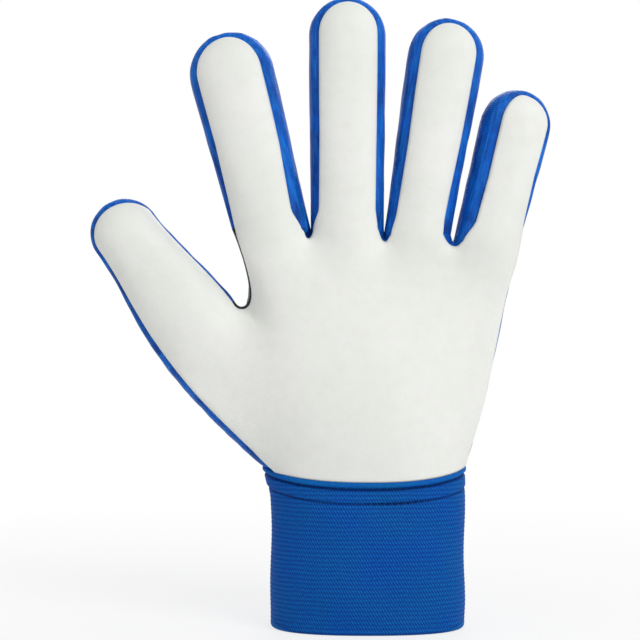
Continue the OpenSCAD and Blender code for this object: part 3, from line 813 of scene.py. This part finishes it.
def spacer_mesh():
    """Warp-knitted polyester mesh laminated on foam: rows of small round holes between bright ribs."""
    material, place = finish_of("backhand_mesh", 0.55, 0.3, 0.4, 0.1, "#1D72D2")
    parts = parted(place)
    rise, fall = (wave(maths("MULTIPLY_ADD", parts["Z"], slope, parts["X"]), MESH_PITCH)
                  for slope in (0.577, -0.577))
    ribs = maths("SUBTRACT", 1.0, maths("MULTIPLY", rise, fall))
    thread = cloud(place, 0.5, 2.0, 0.7)
    colour = blended(ramp(ribs, 0.2, 0.6), "#062F74", "#0B57B4")
    colour = blended(maths("MULTIPLY", ramp(thread, 0.45, 0.7), ramp(ribs, 0.5, 1.0)), colour, "#1D72D2")
    return finished(material, colour, maths("MULTIPLY_ADD", thread, 0.3, ribs), 0.3)


def embossed_jersey():
    """Black nylon jersey on pressed foam: fine twill lines with a dull sheen."""
    material, place = finish_of("knuckle_jersey", 0.5, 0.3, 0.35, 0.25, "#33353D")
    parts = parted(place)
    twill = wave(maths("ADD", parts["Z"], parts["X"]), 1.0)
    thread = maths("MULTIPLY", twill, cloud(place, 0.7, 3.0, 0.6))
    colour = blended(ramp(thread, 0.05, 0.5), "#0C0D10", "#1A1B20")
    colour = blended(ramp(cloud(place, 16.0), 0.4, 0.7, 0.35), colour, "#33353D")
    return finished(material, colour, thread, 0.2)


def brushed_lining():
    """Brushed polyester tricot in pale grey: a short nap that hides the knit."""
    material, place = finish_of("lining_tricot", 0.85, 0.4, 0.6)
    nap = cloud(place, 0.8, 4.0, 0.7)
    return finished(material, blended(ramp(nap, 0.3, 0.7), "#C6CBD2", "#DDE1E6"), nap, 0.25)


def sewing_thread(name, base):
    """Twisted polyester thread: its ply shows as slanted light and dark lines."""
    material, place = finish_of(name, 0.45, 0.2, 0.5, 0.15, base)
    parts = parted(place)
    ply = wave(maths("ADD", parts["X"], maths("ADD", parts["Y"], parts["Z"])), 0.6)
    dim = tuple(c * 0.55 for c in linear(base)[:3]) + (1.0,)
    return finished(material, blended(ply, dim, base), ply, 0.08)


LATEX = latex_foam()
GUSSET = stretch_gusset()
# its last colour is the sheen's tint and the colour of the painted highlight streaks
BLACK_GUSSET = stretch_gusset("web_jersey", "#0B0C0F", "#17181D", "#3A3D46")
CUFF = rib_knit()
MESH = spacer_mesh()
JERSEY = embossed_jersey()
LINING = brushed_lining()
BLUE_THREAD = sewing_thread("blue_thread", "#0D4FA6")
GREY_THREAD = sewing_thread("grey_thread", "#4A4D55")
NAVY_THREAD = sewing_thread("navy_thread", "#062C74")
BLACK_THREAD = sewing_thread("black_thread", "#2A2C33")


# ---- latex, gussets and backhand ----

palm_grid, back_grid = (calmed(untangled(column_rows(*face_columns(side)))) for side in (-1, 1))


def foam_layer(side, hand_grid):
    patches = [("hand", hand_grid)]
    for f in fingers.values():
        patches += [(f.name + ":low", finger_face(f, side, 0.0, f.split, False)),
                    (f.name + ":high", finger_face(f, side, f.split, f.straight, True))]
    layer = Layer(patches)
    layer.calm()
    return layer


def gusset_layer():
    right, left = ({name: gusset_angles(f, side, 0.0)[:, None] for name, f in fingers.items()}
                   for side in (1, -1))
    patches = [("thumb_side", side_strip("thumb", -1, CUFF_SEAMS[0])),
               ("little_side", side_strip("little", 1, CUFF_SEAMS[1])),
               ("web", web(WEB, right["thumb"], left["index"]))]
    v = DEPTHS[:, None]
    patches += [(f"{a}_{b}", between(a, b, CROTCH, right[a], left[b], crotch_dip(v, dip),
                                     mix(CROTCH_PULL, -CROTCH_PULL, v))) for a, b, dip in CROTCHES]
    for f in fingers.values():
        patches += [(f.name + ":low", finger_strip(f, side, 0.0, f.split)) for side in (1, -1)]
        patches.append((f.name + ":high", tip_strip(f, f.split)))
    return Layer(patches)


def rounding(layer, radius):
    """Drop of a foam's rounded edge, which is less where the cuff's seam holds it flat."""
    return rolled(layer.margin, radius) * mix(0.3, 1.0, ease((layer.rest[:, 2] - cuff_height - 1.5) / 7))


def channels(points, lines):
    """Depth of the channels pressed into foam."""
    sag = np.abs(points[:, 0] - fingers["middle"].root[0]) / 40
    return np.max([deep * np.exp(-((points[:, 2] - height - rise * sag ** 1.6) / width) ** 2)
                   for height, rise, width, deep in lines], axis=0)


def finger_channels(layer):
    """Channels across the backs of the fingers, where they flex."""
    width, most = FINGER_CHANNEL
    total = np.zeros(len(layer.rest))
    for f in fingers.values():
        x, _, z = f.local(layer.rest).T
        near = (np.abs(x) < f.half_tip + 1) & (z > 1)
        level = z - f.slope * x * (z < f.bend + 8)
        for place in (0.45 * f.bend, f.bend - 3.5, f.bend + 3.5, mix(f.bend, f.straight, 0.72)):
            deep = most * np.exp(-((level - place) / width) ** 2)
            total = np.where(near, np.maximum(total, deep), total)
    return total


latex = foam_layer(-1, palm_grid)
x, _, z = latex.rest.T
plump = LATEX_PLUMP + SIDE_PLUMP * (ease(x / 30) * ease((SIDE_SPAN[1] - z) / 20) * ease(
    (z - SIDE_SPAN[0]) / 30) * ease((12 - latex.margin) / 10))
latex.shape(plump + PUCKER * noise(latex.rest, 38.0, 3) - rounding(latex, LATEX_ROLL), LATEX_THICK)
latex.piece("palm_latex_foam", "hand", LATEX, "palm_latex", "latex", fill=0.8)
latex.finger_pieces("latex", ("_base_latex", LATEX, "latex"), ("_tip_latex", LATEX, "latex"), fill=0.8)

gussets = gusset_layer()
valley = GUSSET_VALLEY * np.exp(-(gussets.margin / VALLEY_WIDTH) ** 2)
gussets.shape(PUCKER * noise(gussets.rest * (1, 1, 0.35), 6.0, 5) + GUSSET_PROUD - valley,
              GUSSET_VALLEY - GUSSET_PROUD + GUSSET_THICK)
SLOT = "gusset_fabric"
small = [gussets.piece("thumb_web_gusset", "web", BLACK_GUSSET, "thumb_crotch_gusset", SLOT)]
for left, right, _ in CROTCHES:
    pair = f"{left}_{right}"
    small.append(gussets.piece(pair + "_crotch", pair, GUSSET, "crotch_gusset_" + pair, SLOT))
for tag, with_pieces in (("thumb_side", small), ("little_side", ())):
    gussets.piece(tag + "_gusset_cloth", tag, GUSSET, tag + "_gusset", SLOT, held="stretched",
                  with_pieces=with_pieces)
gussets.finger_pieces("gusset", ("_base_gussets", GUSSET, SLOT), ("_tip_gusset", GUSSET, SLOT),
                      held="stretched")

back = foam_layer(1, back_grid)
pressed = channels(back.rest, HAND_CHANNELS) * (back.rest[:, 2] < CHANNELS_END) + finger_channels(back)
back.shape(-rounding(back, BACK_ROLL) - pressed, BACK_THICK)
back.piece("backhand_foam_mesh", "hand", MESH, "backhand_foam", "backhand_blue", fill=0.7)
back.finger_pieces("back", ("_base_back", JERSEY, "backhand_black"), ("_tip_back", MESH, "backhand_blue"),
                   fill=0.7)


# ---- sewing ----

def sewn(name, path, normals, thread, tag, length=2.4, gap=0.7, thick=0.26):
    """A row of stitches along a path, each a short rounded thread that sinks in at its ends."""
    run = run_along(path)
    sides = 6
    along = np.linspace(0, 1, sides)
    ring = np.radians(np.arange(0, 360, 360 / sides))[None, :, None]
    bow = np.sin(math.pi * along)[:, None]
    fat = (thick * (0.35 + 0.65 * bow ** 0.5))[..., None]
    points, faces = [], []
    for start in np.arange(0, run[-1] - length, length + gap):
        spine, facing = (np.stack([np.interp(start + length * along, run, part[:, k]) for k in range(3)], 1)
                         for part in (path, normals))
        facing = unit(facing)
        side = unit(np.cross(facing, np.gradient(spine, axis=0)))
        middle = spine + facing * thick * (1.1 * bow - 0.7)
        first = len(points) * sides * sides
        round_it = np.cos(ring) * side[:, None] + np.sin(ring) * facing[:, None]
        points.append(middle[:, None] + fat * round_it)
        for a in range(first, first + 5 * sides, sides):
            faces += [[a + i, a + (i + 1) % sides, a + sides + (i + 1) % sides, a + sides + i]
                      for i in range(sides)]
        faces += [list(range(first + 5, first - 1, -1)), list(range(first + 30, first + 36))]
    points = np.concatenate(points).reshape(-1, 3)
    follow(mesh_piece(name, points, faces, thread, cloth=points), tag)


def back_stitches():
    """Rows of topstitching on the backhand foam of the fingers, beside every gusset."""
    for f in fingers.values():
        for part, low, high, thread in (("low", 1.0, f.split - 0.6, BLACK_THREAD),
                                        ("high", f.split + 0.6, f.straight, BLUE_THREAD)):
            walls = np.linspace(low, high, 60)
            inside = BACK_SEAM + BACK_STITCH_INSIDE
            for word, angle in (("right", inside), ("left", 180 - inside)):
                path = back.surface(np.array([f.wall(s, angle) for s in walls]), -0.02)
                sewn(f"{f.name}_stitches_{part}_{word}", *path, thread, f"{f.name}:{part}", thick=0.2)


# ---- the knuckle panel: a raised pad of black foam over the blue backhand ----

def knuckle_panel():
    angle = face_columns(1)[0]
    index = (angle - (180 - BACK_SEAM)) / (2 * BACK_SEAM - 180) * COLUMNS
    hand = back.rest[back.which[:back_grid.size // 3]].reshape(back_grid.shape)
    columns = hand[:, (index > KNUCKLE_FIRST) & (index < KNUCKLE_LAST)]
    sideways = columns[-1, :, 0]
    top = np.polyval(np.polyfit(sideways, columns[-1, :, 2], 2), sideways) - cuff_height
    grid = np.array([[[np.interp(z, column[:, 2], column[:, k]) for k in range(3)]
                      for z, column in zip(cuff_height + share * top, columns.transpose(1, 0, 2))]
                     for share in np.linspace(*KNUCKLE_ROWS, 30)])
    layer = Layer([("hand", grid)])
    pressed = rolled(layer.margin, KNUCKLE_ROLL) + channels(layer.rest, KNUCKLE_CHANNELS)
    layer.shape(KNUCKLE_PROUD - pressed, 0.6)
    layer.piece("knuckle_pad", "hand", JERSEY, "knuckle_panel", "backhand_black", fill=0.8)
    path = np.r_[grid[1, 1:-1], grid[2:-2, -2], grid[-2, -2:0:-1], grid[-3:1:-1, 1], grid[1, 1:3]]
    sewn("knuckle_pad_stitches", *layer.surface(path, 0.05), GREY_THREAD, "hand")


# ---- linings ----

def hand_linings():
    rows = np.r_[0:len(ROWS):2, len(ROWS) - 1]
    layer = Layer([(tag, grid[rows][:, np.unique(np.r_[0:grid.shape[1]:3, grid.shape[1] - 1])])
                   for tag, grid in (("palm", palm_grid), ("back", back_grid))])
    layer.shape(-LINING_SINK, LINING_SINK + LINING_THICK)
    inward = np.where(layer.normals[:, 1] < 0, 1, -1)
    for face, extra in ((layer.outer, 0.0), (layer.inner, LINING_THICK)):
        least = layer.rest[:, 1] * inward + LATEX_THICK + extra  # so that it stays behind the foam
        face[:, 1] = np.maximum(face[:, 1] * inward, least) * inward
    for tag, node in (("palm", "palm_lining"), ("back", "backhand_lining")):
        layer.piece(tag + "_lining_cloth", tag, LINING, node, "lining", held="laid")


def finger_linings():
    angles = np.linspace(0, 360, 33)
    for f in fingers.values():
        walls = np.linspace(0, f.straight, 26)
        low = walls[walls <= f.split]
        high = np.r_[low[-1], walls[walls > f.split]]
        wide, deep = f.half_tip * across(angles), f.tip_deep * outward(angles)
        cap = [f.placed(wide * math.cos(c), deep * math.cos(c), f.straight + f.half_tip * math.sin(c))
               for c in np.radians(np.linspace(0, 90, 9))[1:]]
        layer = Layer([(f.name + ":low", np.array([f.wall(s, angles) for s in low])),
                       (f.name + ":high", np.array([f.wall(s, angles) for s in high] + cap))])
        layer.shape(-LINING_SINK, LINING_SINK + LINING_THICK)
        layer.finger_pieces("lining", ("_base_lining", LINING, "lining"), ("_tip_lining", LINING, "lining"),
                            own=[f], held="laid")


# ---- the cuff: one tube of knitted elastic, doubled at the mouth and sewn in at the top ----

def cuff_profile(drop):
    """How far the cuff's outer face stands out, at this depth below the seam."""
    binding = 0.4 * np.exp(-((drop - BINDING / 2) / (BINDING / 2.2)) ** 4)
    rows = -0.9 * np.exp(-((drop - GROOVE) / 0.6) ** 2) - 0.7 * np.exp(-((drop - SECOND_ROW) / 0.6) ** 2)
    return binding + rows + BAND_PROUD * (1 - ease((drop - SECOND_ROW) / 1.2))


def cuff_cloth():
    angles = np.linspace(0, 360, CUFF_COLUMNS + 1)
    seam = cuff_seam_height(angles)
    rows = [cuff_point(angles, FOLD - FOLD * math.sin(turn), FOLD * (math.cos(turn) - 1))
            for turn in np.radians(np.linspace(180, 0, 13))]  # the fold at the mouth, from inside to outside
    for share in np.r_[np.linspace(1, 0.16, 150), np.linspace(0.16, 0, 44)[1:]]:
        z = mix(seam, FOLD, share)
        drop = seam - z
        ribs = 0.06 * np.sin(2 * math.pi * z / RIB_PITCH) * ease((drop - SECOND_ROW) / 3)
        slack = 0.5 * noise(cuff_point(angles, z), 42.0, 11) * ease(z / 12) * ease(drop / 14)
        rows.append(cuff_point(angles, z, cuff_profile(drop) + ribs + slack))
    inside = -KNIT - 0.2  # the outer face of the inner layer
    rows += [cuff_point(angles, z, lift) for z, lift in (
        (seam + 0.5, -0.35), (seam + 0.6, -KNIT), (seam * 0.5 + 3, -KNIT), (2 * FOLD, -KNIT),
        (2 * FOLD, inside), (seam * 0.5 + 3, inside), (seam - 0.2, inside))]
    for share in np.linspace(0, 1, 60):
        z = mix(seam - 0.2, FOLD, share)
        ribs = 0.1 * np.sin(2 * math.pi * z / RIB_PITCH)
        rows.append(cuff_point(angles, z, -2 * FOLD + ribs * ease(share * 8) * ease((1 - share) * 8)))
    grid = np.array(rows)[:, :-1]
    at = np.arange(grid.size // 3).reshape(grid.shape[:2])
    beside, above = np.roll(at, -1, 1), np.roll(at, -1, 0)
    faces = np.stack([at, beside, np.roll(beside, -1, 0), above], -1).reshape(-1, 4).tolist()
    run, z = run_along(cuff_point(angles, seam))[:-1], grid[..., 2]
    cloth = np.stack([run + 0 * z, 0 * z, z], -1).reshape(-1, 3)
    piece = mesh_piece("cuff_elastic", grid.reshape(-1, 3), faces, CUFF, cloth=cloth,
                       margin=(seam[:-1] - z).ravel())
    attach(piece, "hand")
    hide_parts("cuff_knit", "cuff_seam_band")


def cuff_stitches():
    angles = np.linspace(0, 360, 721)
    for word, drop, proud in (("upper", GROOVE, 0.09), ("lower", SECOND_ROW, 0.02)):
        z = cuff_seam_height(angles) - drop
        path = cuff_point(angles, z, cuff_profile(drop) + proud)
        normals = cuff_point(angles, z, 1.0) - cuff_point(angles, z)
        sewn("cuff_stitches_" + word, path, normals, NAVY_THREAD, "hand", 1.9, 0.8, 0.27)


knuckle_panel()
hand_linings()
finger_linings()
cuff_cloth()
cuff_stitches()
back_stitches()


# ---- the studio ----

CAMERA_AWAY = 650.0  # in front of the glove
CAMERA_SIDE = -19.2
CAMERA_HIGH = 124.0
LENS, SENSOR = 90.0, 36.0
LAMP_AIM = (0, 0, 0.13)  # in metres
WORLD_LIGHT = 0.42  # on the glove; the camera sees plain white
FLOOR_HALF = 3000.0


def camera():
    data = bpy.data.cameras.new("camera")
    data.lens, data.sensor_width = LENS, SENSOR
    made = linked("camera", data)
    made.location = Vector((CAMERA_SIDE, -CAMERA_AWAY, CAMERA_HIGH)) * MM
    made.rotation_euler = (math.radians(90), 0, 0)
    bpy.context.scene.camera = made


def soft_lamp(name, place, size, power):
    """A square soft box that faces the middle of the glove."""
    data = bpy.data.lights.new(name, "AREA")
    data.size, data.energy = size, power
    made = linked(name, data)
    made.location = place
    made.rotation_euler = (Vector(LAMP_AIM) - made.location).to_track_quat("-Z", "Y").to_euler()


def seen_share(tree):
    """1 for the camera, a mirror or glass, and 0 for the light that falls on the glove."""
    rays = add(tree, "LightPath").outputs
    share = maths("MAXIMUM", rays["Is Camera Ray"], rays["Is Glossy Ray"])
    return maths("MAXIMUM", share, rays["Is Transmission Ray"])


def studio():
    world = bpy.data.worlds.new("studio")
    bpy.context.scene.world = world
    world.use_nodes = True
    tree = world.node_tree
    background = tree.nodes["Background"].inputs
    background["Color"].default_value = (1, 1, 1, 1)
    strength = add(tree, "MapRange", {"Value": seen_share(tree), "To Min": WORLD_LIGHT, "To Max": 1.0})
    tree.links.new(strength.outputs[0], background["Strength"])

    material = finish_of("white_paper", 0.9, gloss=0.1)[0]
    corners = FLOOR_HALF * np.array([(-1, -1, 0), (1, -1, 0), (1, 1, 0), (-1, 1, 0)])
    mesh_piece("floor", corners, [(0, 1, 2, 3)], material)
    tree = material.node_tree
    paper = tree.nodes["Principled BSDF"]
    paper.inputs["Base Color"].default_value = linear("#F4F4F4")
    glow = add(tree, "Emission", {"Color": (1, 1, 1, 1), "Strength": 1.0}).outputs[0]
    place = add(tree, "NewGeometry").outputs["Position"]
    away = add(tree, "VectorMath", {0: place}, operation="LENGTH").outputs["Value"]
    clear = add(tree, "MapRange", {"Value": away, "From Min": 0.10, "From Max": 0.45, "To Min": 0.74})
    share = maths("MULTIPLY", seen_share(tree), clear.outputs[0])  # of the floor that shines as plain white
    mixed = add(tree, "MixShader", {0: share, 1: paper.outputs[0], 2: glow}).outputs[0]
    tree.links.new(mixed, tree.nodes["Material Output"].inputs["Surface"])

    soft_lamp("key", (0.95, -1.2, 1.15), 1.0, 17.0)
    soft_lamp("fill", (-1.3, -0.9, 0.7), 1.2, 2.0)
    soft_lamp("rim", (0.2, 1.5, 1.1), 1.2, 12.0)
    bpy.context.scene.view_settings.view_transform = "Standard"


camera()
studio()
